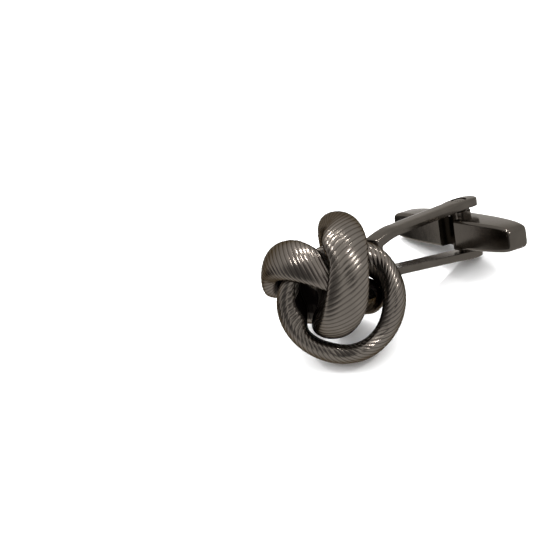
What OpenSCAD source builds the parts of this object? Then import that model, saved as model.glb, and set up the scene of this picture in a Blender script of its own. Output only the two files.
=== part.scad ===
// Knot cufflink: three interlaced half-round bands on a fork, with a toggle that swings on a rivet pin.
// It is drawn round the pin: +X is the way the fork points, +Y the toggle's length, +Z the pin's axis.
// Afterwards the whole cufflink is laid down, the way it comes to rest on a table.

/* [Knot] */
// Mean radius of the centre line of a ring
ring_r = 5.48; // [5.45:0.01:5.55]
// Mean width of a ring's band
band_w = 3.36; // [3:0.02:3.4]
// Mean height of the band's domed outside above its edges
band_dome = 1.14; // [0.9:0.02:1.16]
// Mean depth of the band's smooth inside below its edges
band_inside = 1.05; // [0.6:0.01:1.06]
// Place of a ring's centre from the knot's centre: along its axis, and along the axes of the next and the last ring
ring_off = [-0.55, -1.2, 1.46];
// Angle by which a ring's axis leans towards the knot's front
ring_lean = -13.4; // [-14:0.1:-13]
// Angle by which a ring's axis turns aside, about the line square to that lean
ring_aside = -5; // [-5.5:0.1:-4.5]

/* [Fork] */
// Distance from the pin to the level of the knot's centre
knot_reach = 18.3; // [18:0.1:19]
// Place of the knot's centre beside the fork's axis, along the toggle
knot_side = 0.6; // [0.4:0.1:0.8]
// Place of the knot's centre beside the fork's axis, along the pin
knot_drop = -2.06; // [-2.2:0.02:-2]
// Width over both arms at the pin
fork_w = 6.7; // [6.4:0.1:7]
// Width over both arms where their bend begins
fork_waist = 5.5; // [5.2:0.1:6]
// Thickness of an arm
arm_t = 0.95; // [0.8:0.05:1.1]
// Width of an arm
arm_w = 2.4; // [2:0.1:2.8]
// Distance from the pin to the end of an arm
arm_end = 2.2; // [1.6:0.1:2.4]

/* [Toggle] */
// Length of the toggle
toggle_len = 19.6; // [18:0.1:20]
// Thickness of the toggle between the arms
toggle_t = 3.2; // [2.8:0.1:3.4]
// Depth of the toggle from the pin to its front, which faces the knot
toggle_front = 2.2; // [1.8:0.1:2.4]
// Depth of the toggle from the pin to its rounded back
toggle_back = 2.3; // [1.8:0.1:2.6]
// Width of the slot in the middle of the toggle's front
slot_w = 2.6; // [2:0.1:3]
// Radius of the pin
pin_r = 0.6; // [0.5:0.05:0.7]

/* [Hidden] */
METAL = [0.30, 0.28, 0.27];
PIN_METAL = [0.36, 0.34, 0.33];

// Turn of the knot on the fork
knot_turn = [-68.5, -15.8, 140.3];
// Lay of the whole cufflink at rest: roll about the fork, then dip of the fork, then its place on the table
rest_turn = [-16.87, 18.92, 0];
rest_place = [10.596, 0, 3.867];

// How a ring's five measures swell and sink round it, one row for each number of waves
// Each measure has two columns: the height of its waves, and the angle round the ring of a crest
// SIDE is the centre line's place along the ring's axis, OUT its radius, and LEAN the band's lean in degrees
SIDE = 1;
OUT = 3;
LEAN = 5;
WIDTH = 7;
DOME = 9;
WAVES = [
    [0, 0.00,   0, 0.00,  0, -22,   0, 0.0,   0, 0.00,   0],
    [1, 0.00,   0, 0.00,  0,  44,  90, 0.3, 103, 0.12, 160],
    [2, 0.33, -22, 0.30, 11,  27,   1, 0.6,  75, 0.12,  39],
    [3, 0.35, -34, 0.18, -8,  10, -27, 0.0,   0, 0.00,   0],
];
function wave(a, col) = [for (row = WAVES) row[col] * cos(row[0] * (a - row[col + 1]))] * [for (row = WAVES) 1];

// Where a band bulges, one row for each bulge: the angle round the ring of its middle, how many degrees it reaches
// to either side, how much it adds to the band's edge on the side of the ring's axis, to the band's inside and to
// its outside, and the number of the one ring that has it, or ALL
AT = 0;
REACH = 1;
EDGE = 2;
INSIDE = 3;
OUTSIDE = 4;
ONLY = 5;
ALL = -1;
BULGES = [
    [ 25, 65, 0.9,  0.00, 0.0, ALL],
    [ 10, 40, 0.0,  1.20, 0.0, ALL],
    [ 58, 32, 0.0, -0.22, 0.0, ALL],
    [125, 40, 1.2,  0.00, 0.0, ALL],
    [172, 50, 0.4,  0.00, 0.0, ALL],
    [265, 35, 0.0,  1.00, 0.0, ALL],
    [178, 38, 1.6,  0.00, 0.0, 1],
    [262, 30, 0.4,  0.00, 0.0, 1],
    [278, 22, 0.0,  0.00, 0.7, 1],
];
function turn_between(a, b) = abs((a - b + 540) % 360 - 180);
function bulge(k, a, col) = [
    for (row = BULGES) turn_between(a, row[AT]) < row[REACH] && (row[ONLY] == ALL || row[ONLY] == k)
        ? row[col] * pow(cos(90 * turn_between(a, row[AT]) / row[REACH]), 2) : 0
] * [for (row = BULGES) 1];

ring_steps = 80;
band_steps = 16;
// Point of ring number k about its own axis, at angle a round the ring and s round the band's section
function ring_point(k, a, s) = let (
    across = (band_w + wave(a, WIDTH)) / 2 * cos(s) + bulge(k, a, EDGE) * (1 + cos(s)) / 2,
    swell = 1 + wave(a, DOME) / band_dome,
    outside = band_dome * swell + bulge(k, a, OUTSIDE),
    inside = band_inside * swell + bulge(k, a, INSIDE),
    high = (sin(s) > 0 ? outside : inside) * sin(s),
    lean = wave(a, LEAN),
    r = ring_r + wave(a, OUT) + high * cos(lean) - across * sin(lean)
) [r * cos(a), r * sin(a), wave(a, SIDE) + high * sin(lean) + across * cos(lean)];

// Faces of a grid of points that closes both ways
function torus_faces(n, m) = [
    for (i = [0:n - 1], j = [0:m - 1]) let (i2 = (i + 1) % n, j2 = (j + 1) % m)
    each [[i * m + j, i2 * m + j2, i * m + j2], [i * m + j, i2 * m + j, i2 * m + j2]]
];

module band(k) {
    points = [
        for (i = [0:ring_steps - 1], j = [0:band_steps - 1])
        ring_point(k, 360 * i / ring_steps, 360 * j / band_steps)
    ];
    polyhedron(points, torus_faces(ring_steps, band_steps));
}

DIAGONAL = [1, 1, 1];
// Columns of PLACES: how much each of the three rings is turned in degrees, and then shifted, from its even place
TURN = 0;
SHIFT = 1;
PLACES = [
    [[2.8, 2.1, -0.5], [0.03, 0.05, 0.1]],
    [[-0.7, -2.3, 0.4], [-0.1, -0.03, -0.17]],
    [[-1.7, -2.7, 3.5], [-0.01, 0.25, 0.13]],
];

// Ring number k of the knot: the band, a third of a turn on about the knot's own axis each time
module ring(k) {
    color(METAL) laid_down() in_knot()
        translate(PLACES[k][SHIFT]) rotate(PLACES[k][TURN])
        rotate(a = 120 * k, v = DIAGONAL)
        translate(ring_off)
        rotate(a = ring_aside, v = [0, 1, 1])
        rotate(a = ring_lean, v = [0, 1, -1])
        rotate(a = 120, v = DIAGONAL)
        band(k);
}

module in_knot() {
    translate([-knot_reach, knot_side, knot_drop]) rotate(knot_turn) children();
}

module laid_down() {
    translate(rest_place) rotate(rest_turn) children();
}

module ring_a() { ring(0); }
module ring_b() { ring(1); }
module ring_c() { ring(2); }

// The fork is cut from a wishbone outline in the plane of its bend, seen along the toggle
// Distance from the pin to where the bend begins, to the bottom of the gap between the arms, and to the fork's foot
bend_start = 9.2;
gap_end = 12.15;
foot_end = 13;
// Half the width of the foot, and half the gap between the arms at its bottom
foot_half = 1.9;
gap_foot_half = 1.1;
bend_steps = 8;
// Half the width over the arms, or of the gap between them, at a distance x from the pin towards the knot
function half_at(x, pin_half, bend_half, foot, end) = x < bend_start
    ? pin_half + (bend_half - pin_half) * max(x, 0) / bend_start
    : foot + (bend_half - foot) * cos(90 * (x - bend_start) / (end - bend_start));

// Outline with these half widths on both sides of the fork's axis
module wishbone(tip, pin_half, bend_half, foot, end) {
    xs = concat([-tip, 0], [for (i = [0:bend_steps]) bend_start + (end - bend_start) * i / bend_steps]);
    half = [for (x = xs) half_at(x, pin_half, bend_half, foot, end)];
    last = len(xs) - 1;
    polygon(concat(
        [for (i = [0:last]) [-xs[i], half[i]]],
        [for (i = [last:-1:0]) [-xs[i], -half[i]]]
    ));
}

module fork_outline() {
    wishbone(arm_end, fork_w / 2, fork_waist / 2, foot_half, foot_end);
}

module gap_outline() {
    wishbone(arm_end + 1, fork_w / 2 - arm_t, fork_waist / 2 - arm_t, gap_foot_half, gap_end);
}

module arm_plan() {
    round_x = arm_end - arm_w / 2;
    translate([round_x, 0]) circle(arm_w / 2, $fn = 48);
    translate([-foot_end, -arm_w / 2]) square([foot_end + round_x, arm_w]);
}

// Clearance of the pin in the arms and in the toggle, and the rivet's recess in an arm's outer face
pin_fit = 0.02;
toggle_fit = 0.06;
recess_r = 0.85;
recess_depth = 0.25;
// How far the pin's ends lie below the arms' outer faces
pin_sunk = 0.2;

// A stub on the fork's foot that sits in the hollow between the backs of the three bands
// Its radius, how far from the pin it begins and ends, and its place beside the fork's axis along Y and Z
stub_r = 1.2;
stub_start = 12.35;
stub_end = 13.9;
stub_side = 0.85;
stub_drop = -1.05;

module fork() {
    color(METAL) laid_down() difference() {
        union() {
            intersection() {
                rotate([90, 0, 0]) linear_extrude(arm_w, center = true) difference() {
                    fork_outline();
                    gap_outline();
                }
                linear_extrude(fork_w * 2, center = true) arm_plan();
            }
            translate([-stub_end, stub_side, stub_drop]) rotate([0, 90, 0])
                cylinder(stub_end - stub_start, r = stub_r, $fn = 48);
        }
        cylinder(fork_w * 2, r = pin_r + pin_fit, center = true, $fn = 48);
        for (side = [-1, 1])
            translate([0, 0, side * (fork_w / 2 + 1 - recess_depth)])
            cylinder(2, r = recess_r, center = true, $fn = 48);
    }
}

module pivot_pin() {
    color(PIN_METAL) laid_down()
        cylinder(fork_w - 2 * pin_sunk, r = pin_r, center = true, $fn = 48);
}

// Fullness of the toggle's outline and section, as powers of a rounded oblong
end_power = 6;
section_power = 4.2;
toggle_steps = 28;
section_steps = 24;
end_cut = 0.9995;
// How much the front, the back and the thickness draw in towards the ends
front_taper = 0.18;
back_taper = 0.45;
thick_taper = 0.05;

function round_part(c, power) = sign(c) * pow(abs(c), 2 / power);
function toggle_point(u, s) = let (
    end = pow(1 - pow(abs(u), end_power), 1 / end_power),
    x = round_part(cos(s), section_power),
    z = round_part(sin(s), section_power),
    depth = x > 0 ? toggle_back * (1 - back_taper * u * u) : toggle_front * (1 - front_taper * u * u)
) [x * depth * end, u * toggle_len / 2, z * toggle_t / 2 * (1 - thick_taper * u * u) * end];

module toggle_body() {
    n = toggle_steps + 1;
    m = section_steps;
    points = [
        for (i = [0:toggle_steps], j = [0:m - 1])
        toggle_point(end_cut * sin(180 * i / toggle_steps - 90), 360 * j / m)
    ];
    walls = [
        for (i = [0:n - 2], j = [0:m - 1]) let (j2 = (j + 1) % m)
        each [[i * m + j, i * m + j2, (i + 1) * m + j2], [i * m + j, (i + 1) * m + j2, (i + 1) * m + j]]
    ];
    ends = [[for (j = [m - 1:-1:0]) j], [for (j = [0:m - 1]) (n - 1) * m + j]];
    polyhedron(points, concat(walls, ends));
}

// Radius of the toggle's bosses round the pin, their gap to the arms, and the metal left before the pin
boss_r = 1.15;
boss_gap = 0.15;
slot_floor = 0.95;

module toggle() {
    boss_t = fork_w - 2 * arm_t - 2 * boss_gap - (fork_w - fork_waist) / bend_start * boss_r;
    color(METAL) laid_down() difference() {
        union() {
            toggle_body();
            cylinder(boss_t, r = boss_r, center = true, $fn = 48);
        }
        translate([-toggle_front - slot_floor - 1, -slot_w / 2, -toggle_t])
            cube([toggle_front + 1, slot_w, toggle_t * 2]);
        cylinder(fork_w * 2, r = pin_r + toggle_fit, center = true, $fn = 48);
    }
}

ring_a();
ring_b();
ring_c();
fork();
pivot_pin();
toggle();
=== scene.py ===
"""Knot cufflink: grooved bands, fork, rivet and whale-back toggle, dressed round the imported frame.

The frame gives every piece its place. Each piece is drawn in millimetres round the pivot pin, the way the
part's own source draws it, and is then laid down the way the cufflink rests on a table.
"""

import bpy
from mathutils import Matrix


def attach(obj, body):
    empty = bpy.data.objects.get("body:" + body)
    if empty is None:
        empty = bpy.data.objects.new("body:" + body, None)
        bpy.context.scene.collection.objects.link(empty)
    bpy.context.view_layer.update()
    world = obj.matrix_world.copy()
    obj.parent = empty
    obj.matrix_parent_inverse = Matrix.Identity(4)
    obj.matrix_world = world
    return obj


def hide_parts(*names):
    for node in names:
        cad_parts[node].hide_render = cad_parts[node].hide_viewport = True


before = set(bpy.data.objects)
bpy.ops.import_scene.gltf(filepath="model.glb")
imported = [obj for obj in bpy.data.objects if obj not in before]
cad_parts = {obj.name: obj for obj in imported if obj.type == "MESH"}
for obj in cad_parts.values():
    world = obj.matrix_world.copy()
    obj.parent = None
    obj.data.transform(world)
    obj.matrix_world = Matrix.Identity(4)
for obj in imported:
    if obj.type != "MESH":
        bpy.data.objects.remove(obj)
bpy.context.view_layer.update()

import math

import bmesh
import bpy
from mathutils import Euler, Matrix, Vector
from mathutils.bvhtree import BVHTree
from mathutils.kdtree import KDTree

bl_info = {
    "name": "Knot cufflink",
    "version": (1, 0, 0),
    "blender": (4, 5, 0),
    "location": "3D View > Sidebar > Cufflink",
    "description": "Builds a cufflink of three grooved bands, a fork and a swinging toggle",
    "category": "Add Mesh",
}

MM = 0.001
TURN = 2 * math.pi
# Points nearer than this are one point, in mm
SAME_POINT = 1e-5
# How far a cutting tool reaches past the metal, in mm
CUT_PAST = 1
# Faces that meet at more than this many degrees keep a crisp edge
CREASE = 38

# Lay of the cufflink on the table, and of the knot on its fork, in degrees and millimetres
REST_TURN = (-16.87, 18.92, 0)
REST_PLACE = (10.596, 0, 3.867)
KNOT_TURN = (-68.5, -15.8, 140.3)
KNOT_PLACE = (-18.3, 0.6, -2.06)
RING_OFF = (-0.55, -1.2, 1.46)
RING_LEAN = -13.4
RING_ASIDE = -5
DIAGONAL = (1, 1, 1)
# Each ring's own small turn and shift from its even place in the knot
PLACES = {
    "ring_a": ((2.8, 2.1, -0.5), (0.03, 0.05, 0.1)),
    "ring_b": ((-0.7, -2.3, 0.4), (-0.1, -0.03, -0.17)),
    "ring_c": ((-1.7, -2.7, 3.5), (-0.01, 0.25, 0.13)),
}

# How a band's measures swell round the ring: (waves, height, angle of a crest in degrees)
SWELLS = {
    "side": ((2, 0.33, -22), (3, 0.35, -34)),
    "out": ((2, 0.30, 11), (3, 0.18, -8)),
    "lean": ((0, -22, 0), (1, 44, 90), (2, 27, 1), (3, 10, -27)),
    "width": ((1, 0.3, 103), (2, 0.6, 75)),
    "dome": ((1, 0.12, 160), (2, 0.12, 39)),
}
# Where a band bulges: (middle, reach to either side, growth in mm), the angles round the ring in degrees
BULGES = {
    "edge": ((25, 65, 0.9), (125, 40, 1.2), (172, 50, 0.4)),
    "inside": ((10, 40, 1.2), (58, 32, -0.22), (265, 35, 1.0)),
}
# More bulges on the one ring that passes behind the knot's hollow
OWN_BULGES = {
    "edge": ((178, 38, 1.6), (262, 30, 0.4)),
    "outside": ((278, 22, 0.7),),
}
OWNER = "ring_b"
# How far a groove's place runs ahead where it winds evenly along a flat section, in radians
ARC_LEAD = 0.096
# Fullness of a groove's valley: below 1 the ridges are rounder and the valleys narrower
VALLEY_POWER = 0.9
# The smooth strip along a band's inside: half its width, its growth towards the ring's front, the middle and
# the cosines of its reach round the ring, the width of its soft edge in degrees, and its depth in mm
STRIP_HALF = 33
STRIP_GROWTH = ((0, 52, 37),)
STRIP_MIDDLE = 85
STRIP_ENDS = (-0.4, 0.1)
STRIP_EDGE = 6
STRIP_SINK = 0.06
# Fullness of the quarter next to the strip, and the middle and the cosines of its reach round the ring
CORNER_POWER = 3.6
CORNER_SHOWN = (110, -0.35, 0.15)
# Where a rolled band's long sides are joined: points nearer than this, in mm
SEAM = 0.0005

# Share of open directions over a face where painted shade begins on it, and where the painted shade is full
OPEN_ENOUGH = 0.50
CLOSED_IN = 0.20
# How open a point is: the number of rays sent out over it, and where each starts and ends, in mm
OPEN_RAYS = 48
RAY_START = 0.05
RAY_END = 14
# How that is read off at another place: from how many near points, how much they must face its way, and the
# distance in mm that is added to each one's own
NEAR_POINTS = 7
SAME_WAY = 0.2
NEAREST = 0.1


# Places and shares

def turned(degrees):
    return Euler([math.radians(a) for a in degrees], "XYZ").to_matrix().to_4x4()


def moved(place):
    return Matrix.Translation(Vector(place))


def spun(degrees, axis):
    return Matrix.Rotation(math.radians(degrees), 4, Vector(axis).normalized())


LAID_DOWN = Matrix.Scale(MM, 4) @ moved(REST_PLACE) @ turned(REST_TURN)


def ring_place(name):
    """Where the ring of that name lies, from its own flat circle to the resting cufflink."""
    turn, shift = PLACES[name]
    number = list(PLACES).index(name)
    return (
        LAID_DOWN @ moved(KNOT_PLACE) @ turned(KNOT_TURN) @ moved(shift) @ turned(turn)
        @ spun(120 * number, DIAGONAL) @ moved(RING_OFF)
        @ spun(RING_ASIDE, (0, 1, 1)) @ spun(RING_LEAN, (0, 1, -1)) @ spun(120, DIAGONAL)
    )


def eased(share):
    """A share held between 0 and 1, with soft ends."""
    share = min(1, max(0, share))
    return share * share * (3 - 2 * share)


def arc(start, end, steps):
    """Angles in radians at even steps from start to end, which are in degrees."""
    return [math.radians(start + (end - start) * i / steps) for i in range(steps + 1)]


# Meshes and pieces

def new_object(name, data):
    thing = bpy.data.objects.new(name, data)
    bpy.context.scene.collection.objects.link(thing)
    return thing


def point_outwards(mesh):
    """Joins the mesh's doubled points and points its faces outwards."""
    shape = bmesh.new()
    shape.from_mesh(mesh)
    bmesh.ops.remove_doubles(shape, verts=shape.verts, dist=SAME_POINT)
    bmesh.ops.recalc_face_normals(shape, faces=shape.faces)
    if shape.calc_volume(signed=True) < 0:
        bmesh.ops.reverse_faces(shape, faces=shape.faces)
    shape.to_mesh(mesh)
    shape.free()


def closed_mesh(name, points, faces):
    mesh = bpy.data.meshes.new(name)
    mesh.from_pydata([tuple(p) for p in points], [], faces)
    point_outwards(mesh)
    return mesh


def finished(thing):
    """The thing's mesh with its modifiers worked in, and the modifiers removed."""
    bpy.context.view_layer.update()
    graph = bpy.context.evaluated_depsgraph_get()
    mesh = bpy.data.meshes.new_from_object(thing.evaluated_get(graph))
    thing.modifiers.clear()
    thing.data = mesh
    return mesh


def shade(mesh):
    mesh.shade_smooth()
    mesh.set_sharp_from_angle(angle=math.radians(CREASE))


def settle(thing, place, material, body, nodes):
    """Puts a finished mesh in its place and hands it to the frame."""
    thing.data.transform(place)
    if material.name not in [m.name for m in thing.data.materials if m]:
        thing.data.materials.clear()
        thing.data.materials.append(material)
    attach(thing, body)
    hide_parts(*nodes)


def cut_away(thing, cutters, operation="DIFFERENCE"):
    """Cuts the cutters out of the thing, or joins them to it, and removes them."""
    for cutter in cutters:
        step = thing.modifiers.new("cut", "BOOLEAN")
        step.operation = operation
        step.solver = "EXACT"
        step.object = cutter
        finished(thing)
        old = cutter.data
        bpy.data.objects.remove(cutter)
        bpy.data.meshes.remove(old)


def box_object(name, low, high):
    points = [(x, y, z) for x in (low[0], high[0]) for y in (low[1], high[1]) for z in (low[2], high[2])]
    faces = [(0, 1, 3, 2), (4, 6, 7, 5), (0, 4, 5, 1), (2, 3, 7, 6), (0, 2, 6, 4), (1, 5, 7, 3)]
    return new_object(name, closed_mesh(name, points, faces))


def lathed(name, profile, steps=64, place=None):
    """A solid turned about the Z axis from (radius, height) points that begin and end on the axis."""
    points, faces = [], []
    rings = []
    for radius, height in profile:
        if radius == 0:
            rings.append([len(points)] * steps)
            points.append((0, 0, height))
        else:
            rings.append(list(range(len(points), len(points) + steps)))
            points += [(radius * math.cos(a), radius * math.sin(a), height) for a in arc(0, 360, steps)[:-1]]
    for low, high in zip(rings, rings[1:]):
        for i in range(steps):
            j = (i + 1) % steps
            corners = [low[i], low[j], high[j], high[i]]
            faces.append(tuple(dict.fromkeys(corners)))
    mesh = closed_mesh(name, points, faces)
    if place is not None:
        mesh.transform(place)
    return new_object(name, mesh)


def rod(name, radius, low, high):
    """A plain round rod on the Z axis."""
    return lathed(name, [(0, low), (radius, low), (radius, high), (0, high)])


def tube(name, sections):
    """A solid whose skin runs through closed sections with one number of points, and a cap on each end."""
    steps = len(sections[0])
    last = (len(sections) - 1) * steps
    faces = [
        (i + j, i + (j + 1) % steps, i + steps + (j + 1) % steps, i + steps + j)
        for i in range(0, last, steps) for j in range(steps)
    ]
    faces += [tuple(reversed(range(steps))), tuple(range(last, last + steps))]
    return new_object(name, closed_mesh(name, [p for section in sections for p in section], faces))


# Node helper

class Tree:
    """A node tree with a short way to add nodes and sums."""

    def __init__(self, tree):
        self.tree = tree
        self.count = 0

    def add(self, kind, inputs=(), **settings):
        node = self.tree.nodes.new(kind)
        node.location = (180 * (self.count % 12), -220 * (self.count // 12))
        self.count += 1
        for name, value in settings.items():
            setattr(node, name, value)
        for key, value in dict(inputs).items():
            self.feed(node.inputs[key], value)
        return node

    def feed(self, socket, value):
        if isinstance(value, bpy.types.NodeSocket):
            self.tree.links.new(value, socket)
        else:
            socket.default_value = value

    def sum(self, operation, *values):
        return self.add("ShaderNodeMath", operation=operation, inputs=enumerate(values)).outputs[0]

    def plus(self, a, b):
        return self.sum("ADD", a, b)

    def less(self, a, b):
        return self.sum("SUBTRACT", a, b)

    def times(self, a, b):
        return self.sum("MULTIPLY", a, b)

    def over(self, a, b):
        return self.sum("DIVIDE", a, b)

    def mixed(self, share, colour_a, colour_b):
        node = self.add("ShaderNodeMix", data_type="RGBA", inputs={0: share, 6: colour_a, 7: colour_b})
        return node.outputs[2]

    def smooth(self, value, low, high, to_low=0.0, to_high=1.0):
        node = self.add(
            "ShaderNodeMapRange", interpolation_type="SMOOTHSTEP",
            inputs={0: value, 1: low, 2: high, 3: to_low, 4: to_high},
        )
        return node.outputs[0]

    def noise(self, place, scale, detail):
        inputs = {"Vector": place, "Scale": scale, "Detail": detail}
        return self.add("ShaderNodeTexNoise", inputs=inputs).outputs["Fac"]

    def marked(self, name):
        """The value that the mesh's points are marked with under that name."""
        return self.add("ShaderNodeAttribute", attribute_name=name).outputs["Fac"]


# Sizes and colours

def length(name, description, default):
    return bpy.props.FloatProperty(
        name=name, description=description + ", in mm", default=default, min=0, max=50, precision=3
    )


def count(name, description, default, low, high):
    return bpy.props.IntProperty(name=name, description=description, default=default, min=low, max=high)


def colour(name, description, default):
    return bpy.props.FloatVectorProperty(
        name=name, description=description, subtype="COLOR", size=4, min=0, max=1, default=default
    )


class CUFFLINK_PG_knot(bpy.types.PropertyGroup):
    """Sizes of the knot's bands, in millimetres."""
    ring_radius: length("Ring radius", "Mean radius of a ring's centre line", 5.48)
    band_width: length("Band width", "Mean width of a band", 3.36)
    dome: length("Dome", "Height of the band's domed outside", 1.14)
    inside: length("Inside", "Depth of the band's smooth inside", 1.05)
    grooves: count("Grooves", "Grooves round a ring", 54, 8, 90)
    groove_twist: count("Groove twist", "Grooves that one groove passes round the section", 15, 0, 40)
    groove_depth: length("Groove depth", "Depth of a groove", 0.032)
    groove_steps: count("Steps in a groove", "Mesh steps in a groove", 10, 4, 20)
    section_steps: count("Steps round the band", "Mesh steps round a section", 96, 16, 160)


class CUFFLINK_PG_finding(bpy.types.PropertyGroup):
    """Sizes of the fork, the rivet and the toggle, in millimetres."""
    fork_width: length("Fork width", "Width over both arms at the pin", 6.7)
    fork_waist: length("Fork waist", "Width over both arms where their bend begins", 5.5)
    arm_thickness: length("Arm thickness", "Thickness of an arm", 0.95)
    arm_width: length("Arm width", "Width of an arm", 2.4)
    arm_end: length("Arm end", "Distance from the pin to the end of an arm", 2.2)
    toggle_length: length("Toggle length", "Length of the toggle", 19.6)
    toggle_thickness: length("Toggle thickness", "Thickness of the toggle", 3.2)
    toggle_front: length("Toggle front", "Depth from the pin to the toggle's front", 2.2)
    toggle_back: length("Toggle back", "Depth from the pin to the toggle's back", 2.3)
    slot_width: length("Slot width", "Width of the slot in the toggle's front", 2.6)
    pin_radius: length("Pin radius", "Radius of the pin", 0.6)


class CUFFLINK_PG_looks(bpy.types.PropertyGroup):
    """Colours and gloss of the metal and the floor."""
    gunmetal: colour("Gunmetal", "The bands' polished dark plating", (0.170, 0.150, 0.130, 1))
    finding: colour("Finding", "The plating on the fork and the toggle", (0.092, 0.081, 0.069, 1))
    # Painted shade: the groove bottoms are darkened to stand in for the shade in the valleys
    hollow: colour("Groove shade", "Painted shade at the bottom of a groove", (0.075, 0.064, 0.054, 1))
    # Painted shade: near-black colour on the inside strip and the closed-in faces, standing in for the shade
    # there
    painted_shade: colour("Painted shade", "Painted shade inside the bands and the knot", (0.006, 0.0045, 0.004, 1))
    rivet: colour("Rivet", "The plating on the rivet's ends", (0.10, 0.088, 0.075, 1))
    edge: colour("Edge tint", "Light that the bands give back at a glancing angle", (0.30, 0.28, 0.255, 1))
    finding_edge: colour("Finding edge tint", "The same for the fork and the toggle", (0.74, 0.71, 0.68, 1))
    gloss: bpy.props.FloatProperty(
        name="Roughness", description="Roughness of the polished plating", subtype="FACTOR",
        default=0.15, min=0, max=1,
    )
    floor: colour("Floor", "The plain floor", (0.92, 0.92, 0.92, 1))


# Metals

# Patterns in the plating, each with its waves a metre and finer layers: clouds, orange peel and wear lines
CLOUDS = (420.0, 3.0)
PEEL = (1500.0, 1.0)
HAIRS = (5200.0, 2.0)
# How far the peel and the wear lines stand out, in metres, and how strongly they show
PEEL_HEIGHT = 0.00004
HAIR_HEIGHT = 0.00002
PEEL_STRENGTH = 0.15
HAIR_STRENGTH = 0.10
# Roughness that wear lines add, and that the painted shade on closed-in faces and the inside strip adds
HAIR_ROUGHNESS = 0.05
PAINTED_SHADE_ROUGHNESS = 0.40
# The least and the most that the clouds make of the plating's tone and of its roughness, and the stretch of
# their own value over which they do so
CLOUD_TONE = (0.9, 1.08)
CLOUD_POLISH = (0.85, 1.2)
TONE_STRETCH = (0.3, 0.7)
POLISH_STRETCH = (0.35, 0.65)
# How deep in a groove its painted shade begins and is full, as shares of the groove's depth
GROOVE_SHADE = (0.3, 1.0)
# The bands' and the rivet's roughness over that of the fork and the toggle, which are brushed along X
BAND_GLOSS = 1.3
RIVET_GLOSS = 1.4
BRUSH = (0.25, 1, 1)


def metal(name, bright, edge, gloss, dark=None, painted_shade=None, brush=(1, 1, 1)):
    """Dark plated metal: slow changes of tone and gloss, fine wear lines and a faint orange-peel polish.

    With a dark colour, the bottoms of grooves take it as painted shade. With a colour for painted shade, the
    closed-in faces and the inside strip that are marked for it take that colour and grow rougher.
    """
    material = bpy.data.materials.new(name)
    material.use_nodes = True
    tree = Tree(material.node_tree)
    shader = material.node_tree.nodes["Principled BSDF"].inputs
    place = tree.add("ShaderNodeTexCoord").outputs["Object"]
    brushed = tree.add("ShaderNodeMapping", inputs={"Vector": place, "Scale": brush}).outputs["Vector"]
    clouds = tree.noise(place, *CLOUDS)
    hairs = tree.noise(brushed, *HAIRS)
    peel = tree.noise(place, *PEEL)
    tone = tree.smooth(clouds, *TONE_STRETCH, *CLOUD_TONE)
    tint = tree.add("ShaderNodeHueSaturation", inputs={"Color": bright, "Value": tone}).outputs["Color"]
    polish = tree.smooth(clouds, *POLISH_STRETCH, *[gloss * share for share in CLOUD_POLISH])
    rough = tree.plus(polish, tree.times(hairs, HAIR_ROUGHNESS))
    if dark:
        # Painted shade in the groove valleys
        tint = tree.mixed(tree.smooth(tree.marked("groove"), *GROOVE_SHADE), tint, dark)
    # Painted shade: the marked faces take the near-black colour in place of real shade, and grow rougher
    if painted_shade:
        share = tree.marked("painted_shade")
        tint = tree.mixed(share, tint, painted_shade)
        rough = tree.plus(rough, tree.times(share, PAINTED_SHADE_ROUGHNESS))
    worn = tree.add("ShaderNodeBump", inputs={
        "Strength": HAIR_STRENGTH, "Distance": HAIR_HEIGHT, "Height": hairs,
    }).outputs["Normal"]
    peeled = tree.add("ShaderNodeBump", inputs={
        "Strength": PEEL_STRENGTH, "Distance": PEEL_HEIGHT, "Height": peel, "Normal": worn,
    }).outputs["Normal"]
    tree.feed(shader["Base Color"], tint)
    tree.feed(shader["Roughness"], rough)
    tree.feed(shader["Normal"], peeled)
    shader["Metallic"].default_value = 1.0
    shader["Specular Tint"].default_value = edge
    return material


def made_once(name, *looks, **more_looks):
    """The metal of that name, made when it is first asked for."""
    return bpy.data.materials.get(name) or metal(name, *looks, **more_looks)


def band_metal():
    looks = bpy.context.scene.cufflink_looks
    # Colours of painted shade: the groove bottoms, and the closed-in faces and inside strip
    spots = {"dark": looks.hollow, "painted_shade": looks.painted_shade}
    return made_once("grooved_gunmetal", looks.gunmetal, looks.edge, looks.gloss * BAND_GLOSS, **spots)


def finding_metal():
    looks = bpy.context.scene.cufflink_looks
    return made_once("polished_gunmetal", looks.finding, looks.finding_edge, looks.gloss, brush=BRUSH)


def rivet_metal():
    looks = bpy.context.scene.cufflink_looks
    return made_once("rivet_gunmetal", looks.rivet, looks.finding_edge, looks.gloss * RIVET_GLOSS)


# Grooved band

# The inputs of the rule that all bands follow, and their kinds
BAND_INPUTS = {
    "Ring Radius": "NodeSocketFloat",
    "Band Width": "NodeSocketFloat",
    "Dome": "NodeSocketFloat",
    "Inside": "NodeSocketFloat",
    "Own Bulges": "NodeSocketFloat",
    "Grooves": "NodeSocketInt",
    "Groove Twist": "NodeSocketInt",
    "Groove Depth": "NodeSocketFloat",
    "Groove Steps": "NodeSocketInt",
    "Section Steps": "NodeSocketInt",
    "Metal": "NodeSocketMaterial",
}


def swell(tree, angle, measure, base, factor=1.0):
    """The base plus this measure's waves at an angle round the ring."""
    total = base
    for waves, height, crest in SWELLS[measure]:
        turn = tree.less(tree.times(angle, float(waves)), waves * math.radians(crest))
        total = tree.plus(total, tree.times(tree.sum("COSINE", turn), height * factor))
    return total


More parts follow.
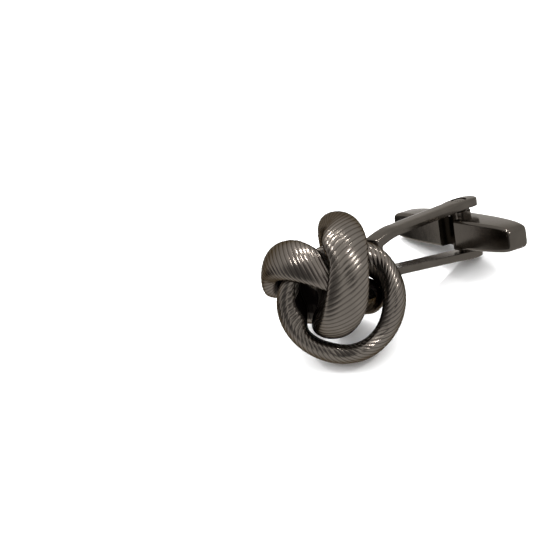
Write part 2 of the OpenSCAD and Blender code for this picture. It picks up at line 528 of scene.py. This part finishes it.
def one_bulge(tree, angle, middle, reach, height):
    """A smooth bulge of a height round its middle, at an angle round the ring."""
    apart = tree.sum("WRAP", tree.less(angle, math.radians(middle)), math.pi, -math.pi)
    share = tree.sum("MINIMUM", tree.over(tree.sum("ABSOLUTE", apart), math.radians(reach)), 1.0)
    crest = tree.sum("COSINE", tree.times(share, math.pi / 2))
    return tree.times(tree.times(crest, crest), height)


def bulge(tree, angle, rows):
    total = 0.0
    for row in rows:
        total = tree.plus(total, one_bulge(tree, angle, *row))
    return total


def strip_shown(tree, angle, middle, begins, full):
    """0 to 1 by the angle round the ring: full on one side of it, about the middle."""
    return tree.smooth(tree.sum("COSINE", tree.less(angle, math.radians(middle))), begins, full)


def strip_share(tree, angle, s):
    """1 on the smooth strip along the band's inside, 0 on its grooved face."""
    shown = strip_shown(tree, angle, STRIP_MIDDLE, *STRIP_ENDS)
    half = tree.times(shown, math.radians(STRIP_HALF))
    growth = tree.times(shown, bulge(tree, angle, [(m, r, math.radians(h)) for m, r, h in STRIP_GROWTH]))
    apart = tree.less(s, 1.5 * math.pi)
    ahead = tree.less(tree.plus(half, growth), apart)
    behind = tree.plus(half, apart)
    return tree.smooth(tree.sum("MINIMUM", ahead, behind), 0.0, math.radians(STRIP_EDGE))


def groove_share(tree, given, u, strip):
    """0 on a ridge and 1 in a valley. The ridges are round, and both stop at the smooth strip."""
    wave = tree.sum("ABSOLUTE", tree.sum("COSINE", tree.times(tree.times(u, given["Grooves"]), math.pi)))
    valley = tree.less(1.0, tree.sum("POWER", wave, VALLEY_POWER))
    return tree.times(valley, tree.less(1.0, strip))


def wound_angle(tree, given, u, s):
    """The angle round the ring of a place on the sheet.

    A groove winds evenly along the section, past a whole number of grooves, so the sheet's long sides meet.
    """
    lead = tree.times(tree.sum("SINE", tree.times(s, 2.0)), ARC_LEAD)
    crossed = tree.less(tree.less(s, math.pi / 2), lead)
    wound = tree.over(given["Groove Twist"], given["Grooves"])
    return tree.plus(tree.times(u, TURN), tree.times(crossed, wound))


def cornered(tree, angle, s):
    """Sine and cosine of s, stretched where the strip shows: there the quarter in front of it is squarer."""
    sine, cosine = tree.sum("SINE", s), tree.sum("COSINE", s)
    powers = [tree.sum("POWER", tree.sum("ABSOLUTE", side), CORNER_POWER) for side in (sine, cosine)]
    corner = tree.over(1.0, tree.sum("POWER", tree.plus(*powers), 1 / CORNER_POWER))
    in_quarter = tree.times(tree.sum("LESS_THAN", sine, 0.0), tree.sum("GREATER_THAN", cosine, 0.0))
    shown = tree.times(in_quarter, strip_shown(tree, angle, *CORNER_SHOWN))
    stretch = tree.plus(1.0, tree.times(tree.less(corner, 1.0), shown))
    return tree.times(sine, stretch), tree.times(cosine, stretch)


def section_point(tree, given, angle, s, relief):
    """How high over the ring's centre line a point of the band's section lies, and how far across."""
    sine, cosine = cornered(tree, angle, s)
    on_outside = tree.sum("GREATER_THAN", sine, 0.0)
    swollen = tree.over(swell(tree, angle, "dome", given["Dome"]), given["Dome"])
    own_outside = tree.times(given["Own Bulges"], bulge(tree, angle, OWN_BULGES["outside"]))
    outer = tree.plus(tree.times(given["Dome"], swollen), own_outside)
    inner = tree.plus(tree.times(given["Inside"], swollen), bulge(tree, angle, BULGES["inside"]))
    thick = tree.plus(tree.times(outer, on_outside), tree.times(inner, tree.less(1.0, on_outside)))
    high = tree.times(tree.plus(thick, relief), sine)

    width = tree.over(swell(tree, angle, "width", given["Band Width"]), 2.0)
    own_edge = tree.times(given["Own Bulges"], bulge(tree, angle, OWN_BULGES["edge"]))
    grown = tree.plus(bulge(tree, angle, BULGES["edge"]), own_edge)
    lifted = tree.times(grown, tree.over(tree.plus(cosine, 1.0), 2.0))
    across = tree.plus(tree.times(tree.plus(width, relief), cosine), lifted)
    return high, across


def ring_point(tree, given, angle, high, across):
    """The place of that point on the ring, which leans and swells as it goes round."""
    lean = swell(tree, angle, "lean", 0.0, math.radians(1))
    cosine, sine = tree.sum("COSINE", lean), tree.sum("SINE", lean)
    radius = tree.plus(
        swell(tree, angle, "out", given["Ring Radius"]),
        tree.less(tree.times(high, cosine), tree.times(across, sine)),
    )
    side = tree.plus(
        swell(tree, angle, "side", 0.0),
        tree.plus(tree.times(high, sine), tree.times(across, cosine)),
    )
    return tree.add("ShaderNodeCombineXYZ", inputs={
        "X": tree.times(radius, tree.sum("COSINE", angle)),
        "Y": tree.times(radius, tree.sum("SINE", angle)),
        "Z": side,
    }).outputs["Vector"]


def band_tree(values):
    """The band's rule: a sheet with lines along the grooves is rolled into a tube and bent into a ring."""
    group = bpy.data.node_groups.new("Grooved band", "GeometryNodeTree")
    group.interface.new_socket("Geometry", in_out="OUTPUT", socket_type="NodeSocketGeometry")
    for name, kind in BAND_INPUTS.items():
        socket = group.interface.new_socket(name, in_out="INPUT", socket_type=kind)
        socket.default_value = values[name]
    tree = Tree(group)
    given = tree.add("NodeGroupInput").outputs
    sheet = tree.add("GeometryNodeMeshGrid", inputs={
        "Size X": 1.0,
        "Size Y": 1.0,
        "Vertices X": tree.plus(tree.times(given["Grooves"], given["Groove Steps"]), 1.0),
        "Vertices Y": tree.plus(given["Section Steps"], 1.0),
    })
    # u is the share of the way round the ring, and s the angle round the section: 0 at one edge, on over the
    # domed outside to the other edge, and back along the inside
    place = tree.add("GeometryNodeInputPosition").outputs[0]
    spot = tree.add("ShaderNodeSeparateXYZ", inputs={"Vector": place}).outputs
    u = tree.plus(spot["X"], 0.5)
    s = tree.times(tree.plus(spot["Y"], 0.5), TURN)

    angle = wound_angle(tree, given, u, s)
    strip = strip_share(tree, angle, s)
    groove = groove_share(tree, given, u, strip)
    depth = tree.plus(tree.times(groove, given["Groove Depth"]), tree.times(strip, STRIP_SINK))
    high, across = section_point(tree, given, angle, s, tree.times(depth, -1.0))
    bent = ring_point(tree, given, angle, high, across)

    shape = sheet.outputs["Mesh"]
    for name, value in (("groove", groove), ("strip", strip)):
        shape = tree.add("GeometryNodeStoreNamedAttribute", data_type="FLOAT", domain="POINT", inputs={
            "Geometry": shape, "Name": name, "Value": value,
        }).outputs[0]
    for kind, inputs in (
        ("GeometryNodeSetPosition", {"Position": bent}),
        ("GeometryNodeMergeByDistance", {"Distance": SEAM}),
        ("GeometryNodeSetShadeSmooth", {}),
        ("GeometryNodeRealizeInstances", {}),
        ("GeometryNodeSetMaterial", {"Material": given["Metal"]}),
    ):
        shape = tree.add(kind, inputs={0: shape, **inputs}).outputs[0]
    tree.add("NodeGroupOutput", inputs={0: shape})
    return group


def fill_inputs(step, group, values):
    """Sets a modifier's inputs by each socket's identifier."""
    for item in group.interface.items_tree:
        if item.item_type == "SOCKET" and item.in_out == "INPUT":
            step[item.identifier] = values[item.name]


class CUFFLINK_OT_bands(bpy.types.Operator):
    """Makes the knot's three grooved bands from one rule, each in its place"""
    bl_idname = "cufflink.bands"
    bl_label = "Grooved bands"

    def execute(self, context):
        sizes = context.scene.cufflink_knot
        values = {
            "Ring Radius": sizes.ring_radius,
            "Band Width": sizes.band_width,
            "Dome": sizes.dome,
            "Inside": sizes.inside,
            "Own Bulges": 0.0,
            "Grooves": sizes.grooves,
            "Groove Twist": sizes.groove_twist,
            "Groove Depth": sizes.groove_depth,
            "Groove Steps": sizes.groove_steps,
            "Section Steps": sizes.section_steps,
            "Metal": band_metal(),
        }
        group = band_tree(values)
        open_space = openness()
        for name in PLACES:
            thing = new_object("grooved_" + name, bpy.data.meshes.new("grooved_" + name))
            step = thing.modifiers.new("band", "NODES")
            step.node_group = group
            fill_inputs(step, group, {**values, "Own Bulges": float(name == OWNER)})
            point_outwards(finished(thing))
            settle(thing, ring_place(name), band_metal(), "post", [name])
            # Marks where the painted shade goes on this band
            paint_closed_in_shade(thing.data, *open_space)
        return {"FINISHED"}


def ray_fan(number):
    """Directions spread evenly over a half sphere about +Z, closer together near its top."""
    fan = []
    for i in range(number):
        out = math.sqrt((i + 0.5) / number)
        turn = math.pi * (3 - math.sqrt(5)) * i
        fan.append(Vector((out * math.cos(turn), out * math.sin(turn), math.sqrt(1 - out * out))))
    return fan


def openness():
    """How open the space is over the plain bands: their points, shares of open directions, and normals."""
    points, faces, normals = [], [], []
    for name in PLACES:
        mesh = bpy.data.objects[name].data
        start = len(points)
        points += [v.co.copy() for v in mesh.vertices]
        normals += [n.vector.copy() for n in mesh.vertex_normals]
        faces += [[start + i for i in face.vertices] for face in mesh.polygons]
    solid = BVHTree.FromPolygons(points, faces)
    fan = ray_fan(OPEN_RAYS)
    places = KDTree(len(points))
    shares = []
    for i, (point, normal) in enumerate(zip(points, normals)):
        turn = normal.to_track_quat("Z", "Y")
        start = point + normal * (RAY_START * MM)
        met = sum(solid.ray_cast(start, turn @ way_out, RAY_END * MM)[0] is not None for way_out in fan)
        shares.append(1 - met / OPEN_RAYS)
        places.insert(point, i)
    places.balance()
    return places, shares, normals


def paint_closed_in_shade(mesh, places, shares, normals):
    """Marks the smooth strip and the closed-in faces for painted shade: a near-black colour and more
    roughness there stand in for the shade that falls on them.
    """
    painted_shade = mesh.attributes.new("painted_shade", "FLOAT", "POINT").data
    strip = mesh.attributes["strip"].data
    for i, point in enumerate(mesh.vertices):
        normal = mesh.vertex_normals[i].vector
        total = weight = 0
        for _, near, distance in places.find_n(point.co, NEAR_POINTS):
            if normals[near].dot(normal) > SAME_WAY:
                part = 1 / (distance / MM + NEAREST) ** 2
                total += part * shares[near]
                weight += part
        closed = (OPEN_ENOUGH - total / weight) / (OPEN_ENOUGH - CLOSED_IN) if weight else 0
        # Painted shade: the more closed in a point is, or the more it lies on the strip, the nearer it is
        # painted to black
        painted_shade[i].value = max(strip[i].value, eased(closed))


# Fork

# Distances from the pin to where the arms bend in, to the end of their gap and to the foot's end, in mm
BEND_START = 9.2
GAP_END = 12.15
FOOT_END = 13.0
# Half the width of the foot, and of the gap at its end
FOOT_HALF = 1.9
GAP_FOOT_HALF = 1.1
STUB = {"radius": 1.2, "start": 12.35, "end": 13.9, "side": 0.85, "drop": -1.05, "edge": 0.12}
RECESS_RADIUS = 0.85
RECESS_DEPTH = 0.25
PIN_FIT = 0.02
# Half the straight length at the pin, the middle of the stretch where the flat eye blends into the rounded
# arm, and half that stretch
EYE_FLAT = 0.6
EYE_START = 1.35
EYE_BLEND = 0.45
# Fullness of an arm's rounded outside along its length and at its eye, and the height of its flat sides
ARM_POWER = 3.4
EYE_POWER = 4.5
ARM_SIDE = 0.44
EYE_SIDE = 0.64
# Width of the small edge along an arm's inside
ARM_EDGE = 0.05
# Mesh steps round an arm's tip, where its eye blends in, along the arm and round the bend
TIP_STEPS = 14
BLEND_STEPS = 8
ARM_STEPS = 16
BEND_STEPS = 8
# How often the corners of the bend and the foot are cut to round them
BEND_ROUNDS = 2


def half_at(x, pin_half, bend_half, foot, end):
    """Half the width over the arms, or of the gap between them, at a distance x from the pin."""
    if x < BEND_START:
        return pin_half + (bend_half - pin_half) * max(x, 0) / BEND_START
    return foot + (bend_half - foot) * math.cos(math.pi / 2 * min(1, (x - BEND_START) / (end - BEND_START)))


def fork_pair(sizes, out_x, in_x):
    """A point on the fork's outside and one on its inside, at their distances from the pin."""
    half, waist, wall = sizes.fork_width / 2, sizes.fork_waist / 2, sizes.arm_thickness
    outside = half_at(out_x, half, waist, FOOT_HALF, FOOT_END)
    inside = half_at(in_x, half - wall, waist - wall, GAP_FOOT_HALF, GAP_END)
    return Vector((-out_x, outside)), Vector((-in_x, inside))


def cut_corners(pairs, rounds):
    """Rounds a line of point pairs by cutting its corners, both lines alike."""
    for _ in range(rounds):
        new = [pairs[0]]
        for first, second in zip(pairs, pairs[1:]):
            for share in (0.25, 0.75):
                new.append(tuple(a.lerp(b, share) for a, b in zip(first, second)))
        pairs = new + [pairs[-1]]
    return pairs


def fork_line(sizes):
    """Pairs of points on the outside and the inside of the fork's upper half, from its tip to its foot."""
    tip = sizes.arm_end
    round_from = tip - sizes.arm_width / 2
    eye_end, arm_start = EYE_START - EYE_BLEND, EYE_START + EYE_BLEND
    xs = [-round_from - (tip - round_from) * math.sin(a) for a in reversed(arc(0, 90, TIP_STEPS))]
    xs += [-EYE_FLAT, 0, EYE_FLAT]
    xs += [eye_end + 2 * EYE_BLEND * i / BLEND_STEPS for i in range(BLEND_STEPS + 1)]
    xs += [arm_start + (BEND_START - arm_start) * i / ARM_STEPS for i in range(1, ARM_STEPS + 1)]
    arm = [fork_pair(sizes, x, x) for x in xs]
    bend = [arm.pop()]
    for i in range(1, BEND_STEPS + 1):
        share = i / BEND_STEPS
        out_x = BEND_START + (FOOT_END - BEND_START) * share
        in_x = BEND_START + (GAP_END - BEND_START) * share
        bend.append(fork_pair(sizes, out_x, in_x))
    for left in (0.5, 0):
        bend.append((Vector((-FOOT_END, FOOT_HALF * left)), Vector((-GAP_END, GAP_FOOT_HALF * left))))
    return arm + cut_corners(bend, BEND_ROUNDS)


def fork_section(outside, inside, sizes, steps=22):
    """A closed section of the strip: flat inside, small edge, upright side and rounded outside."""
    x = outside.x
    half = sizes.arm_width / 2
    past_round = max(x - (sizes.arm_end - half), 0)
    wide = math.sqrt(max(half ** 2 - past_round ** 2, 1e-6))
    eye = eased((x + EYE_START + EYE_BLEND) / (2 * EYE_BLEND))
    power = ARM_POWER + (EYE_POWER - ARM_POWER) * eye
    side = ARM_SIDE + (EYE_SIDE - ARM_SIDE) * eye
    rises = []
    for a in arc(-90, 90, steps):
        y = wide * math.sin(a)
        away = math.hypot(past_round, y) / half
        rises.append((y, side + (1 - side) * max(0, 1 - away ** power) ** (1 / power)))
    inset = wide - ARM_EDGE if wide > 3 * ARM_EDGE else wide
    rises += [(wide, ARM_EDGE), (inset, 0), (-inset, 0), (-wide, ARM_EDGE)]
    spots = [(y, inside.lerp(outside, rise)) for y, rise in rises]
    return [(spot.x, y, spot.y) for y, spot in spots]


def stub():
    """The round stub on the fork's foot, which stands in the knot's hollow."""
    radius, edge, reach = STUB["radius"], STUB["edge"], STUB["end"] - STUB["start"]
    profile = [(0, 0), (radius, 0), (radius, reach - edge), (radius - edge, reach), (0, reach)]
    place = moved((-STUB["start"], STUB["side"], STUB["drop"])) @ Matrix.Rotation(-math.pi / 2, 4, "Y")
    return lathed("stub", profile, place=place)


class CUFFLINK_OT_fork(bpy.types.Operator):
    """Makes the fork: one bent strip, rounded outside, with an eye at each end and a stub in the knot"""
    bl_idname = "cufflink.fork"
    bl_label = "Fork"

    def execute(self, context):
        sizes = context.scene.cufflink_finding
        upper = fork_line(sizes)
        lower = [(Vector((o.x, -o.y)), Vector((i.x, -i.y))) for o, i in reversed(upper[:-1])]
        fork = tube("fork_strip", [fork_section(o, i, sizes) for o, i in upper + lower])
        cut_away(fork, [stub()], "UNION")
        half = sizes.fork_width / 2
        floor, past = half - RECESS_DEPTH, half + CUT_PAST
        cut_away(fork, [
            rod("hole", sizes.pin_radius + PIN_FIT, -past, past),
            rod("recess", RECESS_RADIUS, -past, -floor),
            rod("recess", RECESS_RADIUS, floor, past),
        ])
        shade(fork.data)
        settle(fork, LAID_DOWN, finding_metal(), "post", ["fork"])
        return {"FINISHED"}


# Rivet

# Gaps round a head and under it, the height of its upright rim, and of its low dome above that
HEAD_GAP = 0.04
SEAT_GAP = 0.01
HEAD_RIM = 0.05
HEAD_DOME = 0.17
# Mesh steps from a head's rim to the middle of its dome
DOME_STEPS = 8


class CUFFLINK_OT_rivet(bpy.types.Operator):
    """Makes the pivot pin, with ends peened into low domes"""
    bl_idname = "cufflink.rivet"
    bl_label = "Rivet"

    def execute(self, context):
        sizes = context.scene.cufflink_finding
        head = RECESS_RADIUS - HEAD_GAP
        seat = sizes.fork_width / 2 - RECESS_DEPTH + SEAT_GAP
        rim = seat + HEAD_RIM
        dome = [(head * math.cos(a), rim + HEAD_DOME * math.sin(a)) for a in arc(0, 90, DOME_STEPS)[:-1]]
        upper = [(sizes.pin_radius, seat), (head, seat), *dome, (0, rim + HEAD_DOME)]
        lower = [(r, -z) for r, z in reversed(upper)]
        pin = lathed("rivet_pin", lower + upper)
        shade(pin.data)
        settle(pin, LAID_DOWN, rivet_metal(), "post", ["pivot_pin"])
        return {"FINISHED"}


# Toggle

# Share of its depth or thickness that the bar loses towards its ends
FRONT_TAPER = 0.24
BACK_TAPER = 0.45
THICK_TAPER = 0.06
# Radius of the front's ridges, its largest share of half the thickness, and fullness of the back
FRONT_RADIUS = 0.36
RIDGE_SHARE = 0.96
BACK_POWER = 4.2
# Over what length the sides and the back round off at an end, and over what length the front does
END_ROUND = 0.6
FRONT_END_ROUND = 0.3
# The share of that length by which they draw in
END_INSET = 0.5
FRONT_INSET = 0.6
# How much shorter the bar is than its full length at each end, inside the plain bar
END_SHORT = 0.04
# The back and the sides fall to the ends as a rounded oblong of this power does, up to this share of its tip
END_POWER = 6
END_SHARE = 0.90
BOSS_RADIUS = 1.15
BOSS_GAP = 0.15
BOSS_EDGE = 0.08
# Distance from the pin's middle to the slot's floor
SLOT_FLOOR = 0.95
TOGGLE_FIT = 0.06
# Mesh steps along half the bar, and round its end
BODY_STEPS = 24
END_STEPS = 14


def whale_section(front, back, half, steps=7):
    """Points (x, z) round a bar's section, from the crisp ridges at -front to the full back."""
    fullness = 2 / BACK_POWER
    quarter = arc(0, 90, 2 * steps)
    upper = [(back * math.cos(a) ** fullness, half * math.sin(a) ** fullness) for a in quarter]
    points = upper[:-1]
    radius = min(FRONT_RADIUS, half * RIDGE_SHARE)
    for side, start in ((1, 90), (-1, 180)):
        for a in arc(start, start + 90, steps):
            x = radius - front + radius * math.cos(a)
            points.append((x, side * (half - radius) + radius * math.sin(a)))
    return points + [(x, -z) for x, z in reversed(upper[1:])]


def rounded_off(left, radius):
    """How far a face draws in where so much length is left before a rounded end of this radius."""
    short = max(0, 1 - left / radius)
    return radius * (1 - math.sqrt(max(0, 1 - short * short)))


def toggle_sections(sizes):
    """Sections of the toggle's body along Y. Its ends are blunt, and least round in front."""
    reach = sizes.toggle_length / 2 - END_SHORT
    straight = reach - END_ROUND
    ys = [straight * i / BODY_STEPS for i in range(BODY_STEPS + 1)]
    ys += [straight + END_ROUND * math.sin(a) for a in arc(0, 90, END_STEPS)[1:]]
    sections = []
    for y in [-y for y in reversed(ys[1:])] + ys:
        u = 2 * y / sizes.toggle_length
        left = reach - abs(y)
        inset = END_INSET * rounded_off(left, END_ROUND)
        front_inset = FRONT_INSET * rounded_off(left, FRONT_END_ROUND)
        fall = (1 - END_SHARE * abs(u) ** END_POWER) ** (1 / END_POWER)
        front = sizes.toggle_front * (1 - FRONT_TAPER * u * u) - front_inset
        back = sizes.toggle_back * (1 - BACK_TAPER * u * u) * fall - inset
        half = sizes.toggle_thickness / 2 * (1 - THICK_TAPER * u * u) * fall - inset
        sections.append([(x, y, z) for x, z in whale_section(front, back, half)])
    return sections


def boss(sizes):
    """The round boss on the pin, which fills the fork's gap with a little room on either side."""
    gap = sizes.fork_width - 2 * sizes.arm_thickness
    narrowing = (sizes.fork_width - sizes.fork_waist) / BEND_START * BOSS_RADIUS
    half = (gap - 2 * BOSS_GAP - narrowing) / 2
    inner = BOSS_RADIUS - BOSS_EDGE
    upper = [(BOSS_RADIUS, half - BOSS_EDGE), (inner, half), (0, half)]
    return lathed("boss", [(r, -z) for r, z in reversed(upper)] + upper)


class CUFFLINK_OT_toggle(bpy.types.Operator):
    """Makes the whale-back toggle, with its slot, bosses and pin hole"""
    bl_idname = "cufflink.toggle"
    bl_label = "Toggle"

    def execute(self, context):
        sizes = context.scene.cufflink_finding
        toggle = tube("whale_back", toggle_sections(sizes))
        cut_away(toggle, [boss(sizes)], "UNION")
        past = sizes.toggle_thickness / 2 + 2 * CUT_PAST
        front, half = sizes.toggle_front + CUT_PAST, sizes.slot_width / 2
        cut_away(toggle, [
            box_object("slot", (-front, -half, -past), (-SLOT_FLOOR, half, past)),
            rod("hole", sizes.pin_radius + TOGGLE_FIT, -past, past),
        ])
        shade(toggle.data)
        settle(toggle, LAID_DOWN, finding_metal(), "toggle", ["toggle"])
        return {"FINISHED"}


# Stage

# Camera: where it stands and looks, in millimetres, its own upright line, and its lens and frame width in mm
CAMERA_PLACE = (-149.64, -236.5, 223.1)
CAMERA_AIM = (-11.56, 5.22, 10.80)
CAMERA_UP = (0.5179, 0.3846, 0.7642)
LENS = 221.0
FRAME_WIDTH = 36
# The nearest and the farthest that it sees, and half the floor's side, in metres
NEAR_LIMIT = 0.01
FAR_LIMIT = 10
FLOOR_HALF = 2.0
FLOOR_ROUGHNESS = 0.9
# Soft lights: azimuth, elevation, distance, width, height, power and whether gloss shows them, in degrees,
# metres and watts
LIGHTS = {
    "front_strip": (25, 48, 0.50, 0.075, 0.03, 0.6, True),
    "left_strip": (-124, 58, 0.50, 0.11, 0.018, 0.55, True),
    "back_strip": (168, 64, 0.50, 0.12, 0.03, 1.2, True),
    "right": (100, 62, 0.55, 0.05, 0.03, 0.25, True),
    "fill": (0, 90, 1.0, 2.6, 2.6, 34.0, False),
}
# Strength of the surroundings below the horizon, just above it and overhead
GROUND = 0.98
SKY_LOW = 0.90
SKY_HIGH = 1.05
# Heights, from -1 to 1, between which it changes at the horizon, and again above it
HORIZON = (-0.12, 0.08)
ABOVE = (0.15, 0.9)
# Dark screens round the object: azimuth, elevation, cosine where its shade begins, and where it is full,
# and the share of light left there
SCREENS = {
    "before": (-14, 30, 0.955, 0.985, 0.15),
    "left": (-92, 18, 0.66, 0.92, 0.25),
    "low": (-149, -19, 0.966, 0.982, 0.06),
}


def way(azimuth, elevation):
    """The direction at these angles: azimuth 0 is in front of the object, and 90 is on its right."""
    a, e = math.radians(azimuth), math.radians(elevation)
    return Vector((math.sin(a) * math.cos(e), -math.cos(a) * math.cos(e), math.sin(e)))


def soft_light(name, azimuth, elevation, distance, width, height, power, in_gloss):
    lamp = bpy.data.lights.new(name, "AREA")
    lamp.shape = "RECTANGLE"
    lamp.size = width
    lamp.size_y = height
    lamp.energy = power
    thing = new_object(name, lamp)
    away = way(azimuth, elevation)
    thing.location = away * distance
    thing.rotation_euler = away.to_track_quat("Z", "Y").to_euler()
    thing.visible_camera = False
    thing.visible_glossy = in_gloss


def set_camera():
    """The camera, rolled so that its own upright line stands upright."""
    camera = new_object("camera", bpy.data.cameras.new("camera"))
    camera.data.lens = LENS
    camera.data.sensor_width = FRAME_WIDTH
    camera.data.clip_start = NEAR_LIMIT
    camera.data.clip_end = FAR_LIMIT
    place, aim = Vector(CAMERA_PLACE) * MM, Vector(CAMERA_AIM) * MM
    back = (place - aim).normalized()
    right = Vector(CAMERA_UP).cross(back).normalized()
    turn = Matrix((right, back.cross(right), back)).transposed().to_4x4()
    camera.matrix_world = Matrix.Translation(place) @ turn
    bpy.context.scene.camera = camera


def lay_floor(tint):
    """A plain matt floor, which the metal doesn't mirror."""
    corners = [(-1, -1), (1, -1), (1, 1), (-1, 1)]
    mesh = bpy.data.meshes.new("floor")
    mesh.from_pydata([(FLOOR_HALF * x, FLOOR_HALF * y, 0) for x, y in corners], [], [(0, 1, 2, 3)])
    paper = bpy.data.materials.new("floor_paper")
    paper.use_nodes = True
    surface = paper.node_tree.nodes["Principled BSDF"].inputs
    surface["Base Color"].default_value = tint
    surface["Roughness"].default_value = FLOOR_ROUGHNESS
    mesh.materials.append(paper)
    floor = new_object("floor", mesh)
    floor.visible_glossy = False


def light_surroundings():
    """Pale surroundings, a little brighter overhead, and dimmed where a dark screen stands."""
    world = bpy.data.worlds.new("studio")
    bpy.context.scene.world = world
    world.use_nodes = True
    tree = Tree(world.node_tree)
    sky = tree.add("ShaderNodeTexCoord").outputs["Generated"]
    height = tree.add("ShaderNodeSeparateXYZ", inputs={"Vector": sky}).outputs["Z"]
    low_sky = tree.smooth(height, *HORIZON, GROUND, SKY_LOW)
    strength = tree.plus(low_sky, tree.smooth(height, *ABOVE, 0.0, SKY_HIGH - SKY_LOW))
    for azimuth, elevation, begins, full, left in SCREENS.values():
        nearness = tree.add(
            "ShaderNodeVectorMath", operation="DOT_PRODUCT", inputs={0: sky, 1: way(azimuth, elevation)}
        ).outputs["Value"]
        strength = tree.times(strength, tree.smooth(nearness, begins, full, 1.0, left))
    background = world.node_tree.nodes["Background"].inputs
    background["Color"].default_value = (1, 1, 1, 1)
    tree.feed(background["Strength"], strength)


class CUFFLINK_OT_stage(bpy.types.Operator):
    """Sets the camera, the plain floor, the soft lights and the surroundings"""
    bl_idname = "cufflink.stage"
    bl_label = "Stage"

    def execute(self, context):
        set_camera()
        lay_floor(context.scene.cufflink_looks.floor)
        for name, light in LIGHTS.items():
            soft_light(name, *light)
        light_surroundings()
        context.scene.view_settings.view_transform = "Standard"
        return {"FINISHED"}


# Add-on

class CUFFLINK_PT_panel(bpy.types.Panel):
    """Lists the sizes, the colours and the steps that build the cufflink"""
    bl_label = "Knot cufflink"
    bl_idname = "CUFFLINK_PT_panel"
    bl_space_type = "VIEW_3D"
    bl_region_type = "UI"
    bl_category = "Cufflink"

    def draw(self, context):
        for operator in OPERATORS:
            self.layout.operator(operator.bl_idname)
        for group in GROUPS:
            values = getattr(context.scene, group)
            column = self.layout.column(align=True)
            for name in values.__annotations__:
                column.prop(values, name)


OPERATORS = (CUFFLINK_OT_bands, CUFFLINK_OT_fork, CUFFLINK_OT_rivet, CUFFLINK_OT_toggle, CUFFLINK_OT_stage)
GROUPS = {
    "cufflink_knot": CUFFLINK_PG_knot,
    "cufflink_finding": CUFFLINK_PG_finding,
    "cufflink_looks": CUFFLINK_PG_looks,
}


def register():
    for item in (*GROUPS.values(), *OPERATORS, CUFFLINK_PT_panel):
        bpy.utils.register_class(item)
    for name, group in GROUPS.items():
        setattr(bpy.types.Scene, name, bpy.props.PointerProperty(type=group))


def unregister():
    for name in GROUPS:
        delattr(bpy.types.Scene, name)
    for item in (CUFFLINK_PT_panel, *OPERATORS, *GROUPS.values()):
        bpy.utils.unregister_class(item)


def main():
    register()
    bpy.ops.cufflink.bands()
    bpy.ops.cufflink.fork()
    bpy.ops.cufflink.rivet()
    bpy.ops.cufflink.toggle()
    bpy.ops.cufflink.stage()


if __name__ == "__main__":
    main()
